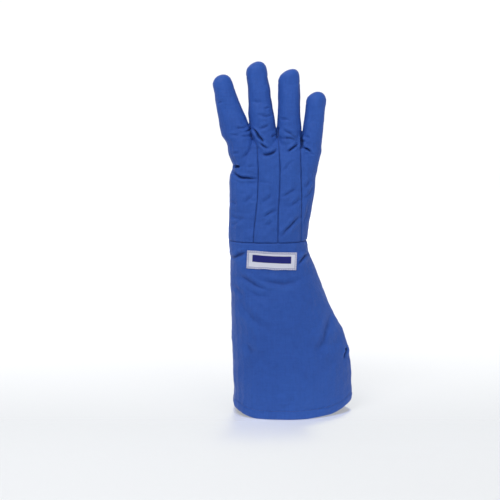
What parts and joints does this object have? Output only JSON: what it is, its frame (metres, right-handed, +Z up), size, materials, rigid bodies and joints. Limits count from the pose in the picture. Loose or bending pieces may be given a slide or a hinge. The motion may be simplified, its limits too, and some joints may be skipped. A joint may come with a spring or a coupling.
{
  "type": "cryogenic glove",
  "caption": "Padded elbow-length glove for cold work, right hand: blue quilted back and flared gauntlet cuff, black grip palm, blank woven label. It stands on the hem of its cuff.",
  "frame": {"origin": "middle of the bounding box, on the surface that the hem stands on", "axes": "+Z up the arm to the finger tips, -Y out of the back of the hand, +Y out of the palm, +X to the little-finger side"},
  "size_m": [0.1958, 0.1208, 0.4901],
  "materials": {
    "blue_shell": "satin woven nylon",
    "black_grip": "matte coated grip cloth",
    "label_weave": "matte woven label"
  },
  "bodies": {
    "root": {"cuff_back": "blue_shell", "cuff_palm": "blue_shell", "gusset_index_middle": "blue_shell", "gusset_middle_ring": "blue_shell", "gusset_ring_little": "blue_shell", "back_index": "blue_shell", "back_middle": "blue_shell", "back_ring": "blue_shell", "back_little": "blue_shell", "palm": "black_grip", "thumb_front": "black_grip", "thumb_back": "blue_shell", "label": "label_weave"}
  },
  "joints": []
}
